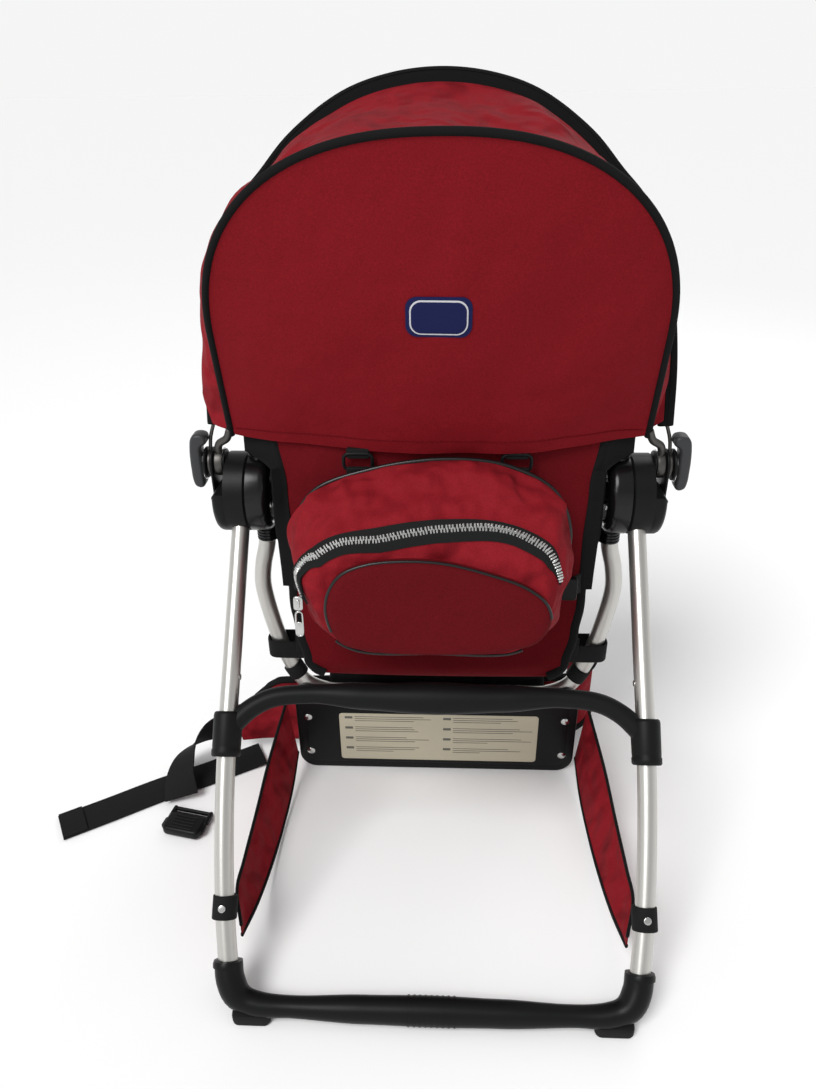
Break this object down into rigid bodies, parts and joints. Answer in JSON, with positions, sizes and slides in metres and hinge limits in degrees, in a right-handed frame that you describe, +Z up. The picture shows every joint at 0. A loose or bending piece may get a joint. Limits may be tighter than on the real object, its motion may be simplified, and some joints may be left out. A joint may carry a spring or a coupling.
{
  "type": "baby carrier backpack",
  "caption": "Framed child carrier backpack standing on its fold-out rear tube stand, with a hooped canopy, a padded seat, a zipped storage bag and padded straps.",
  "frame": {"origin": "on the floor, under the middle of the object's box without the loose hip straps", "axes": "+Z up; +Y towards the wearer's back; +X to the right as seen from behind the carrier, on the stand's side"},
  "size_m": [0.6635, 0.496, 0.7306],
  "materials": {
    "satin_aluminium": "satin clear-anodised tube",
    "steel": "bright plated",
    "black_plastic": "fine-grained moulded black",
    "soft_grip": "soft-touch dark grey",
    "rubber": "matt",
    "red_cloth": "woven polyester, crimson",
    "dark_red_cloth": "woven polyester, dark crimson",
    "black_cloth": "woven black polyester and webbing",
    "label": "printed film, cream, left blank"
  },
  "bodies": {
    "main_frame": {"main_tube": "satin_aluminium", "shoulder_tube": "satin_aluminium", "pivot_bolt_left": "steel", "pivot_bolt_right": "steel", "plate_screw_1": "steel", "plate_screw_2": "steel", "plate_screw_3": "steel", "plate_screw_4": "steel", "zip_chain": "steel", "zip_slider": "steel", "hub_inner_left": "black_plastic", "hub_inner_right": "black_plastic", "canopy_mount_left": "black_plastic", "canopy_mount_right": "black_plastic", "bag_ring_left": "black_plastic", "bag_ring_right": "black_plastic", "lumbar_plate": "black_plastic", "sternum_buckle": "black_plastic", "hip_buckle": "black_plastic", "hip_wing_left": "red_cloth", "hip_wing_right": "red_cloth", "limit_strip_left": "red_cloth", "limit_strip_right": "red_cloth", "storage_bag": "red_cloth", "seat_back": "dark_red_cloth", "seat_bottom": "dark_red_cloth", "bag_pocket": "dark_red_cloth", "seat_side_left": "black_cloth", "seat_side_right": "black_cloth", "harness_strap_left": "black_cloth", "harness_strap_right": "black_cloth", "tube_loop_left": "black_cloth", "tube_loop_right": "black_cloth", "shoulder_strap_left": "black_cloth", "shoulder_strap_right": "black_cloth", "bag_strap_left": "black_cloth", "bag_strap_right": "black_cloth", "back_panel": "black_cloth", "lumbar_pad": "black_cloth", "sternum_strap": "black_cloth", "hip_strap_tail": "black_cloth", "hip_strap_loop": "black_cloth", "info_label": "label"},
    "canopy_rear": {"canopy_rear_hoop": "black_cloth", "canopy_curtain": "red_cloth"},
    "canopy_front": {"canopy_front_hoop": "black_cloth", "canopy_top": "red_cloth"},
    "stand": {"hub_outer_left": "black_plastic", "hub_outer_right": "black_plastic", "stand_tube_left": "satin_aluminium", "stand_tube_right": "satin_aluminium", "foot_pad_left": "rubber", "foot_pad_right": "rubber", "tube_clamp_left": "black_cloth", "tube_clamp_right": "black_cloth", "stand_handle": "soft_grip", "foot_bar": "black_plastic"},
    "lever_left": {"release_lever_left": "soft_grip"},
    "lever_right": {"release_lever_right": "soft_grip"},
    "zip_tab": {"zip_pull": "steel"}
  },
  "joints": [
    {"name": "stand_fold", "type": "hinge", "parent": "main_frame", "child": "stand", "pos_m": [0, 0.08098, 0.362], "axis": [1, 0, 0], "range_deg": [0, 31], "deforming": ["limit_strip_left", "limit_strip_right"]},
    {"name": "canopy_tilt", "type": "hinge", "parent": "main_frame", "child": "canopy_rear", "pos_m": [0, 0.07898, 0.394], "axis": [1, 0, 0], "range_deg": [-12, 12], "deforming": ["canopy_curtain"]},
    {"name": "canopy_open", "type": "hinge", "parent": "canopy_rear", "child": "canopy_front", "pos_m": [0, 0.07898, 0.394], "axis": [-1, 0, 0], "range_deg": [-20, 30], "deforming": ["canopy_top"]},
    {"name": "lever_left_flip", "type": "hinge", "parent": "main_frame", "child": "lever_left", "pos_m": [-0.233, 0.07898, 0.372], "axis": [0, -1, 0], "range_deg": [0, 90]},
    {"name": "lever_right_flip", "type": "hinge", "parent": "main_frame", "child": "lever_right", "pos_m": [0.233, 0.07898, 0.372], "axis": [0, 1, 0], "range_deg": [0, 90]},
    {"name": "zip_tab_swing", "type": "hinge", "parent": "main_frame", "child": "zip_tab", "pos_m": [-0.12277, -0.05098, 0.29041], "axis": [1, 0, 0], "range_deg": [-110, 0]}
  ]
}
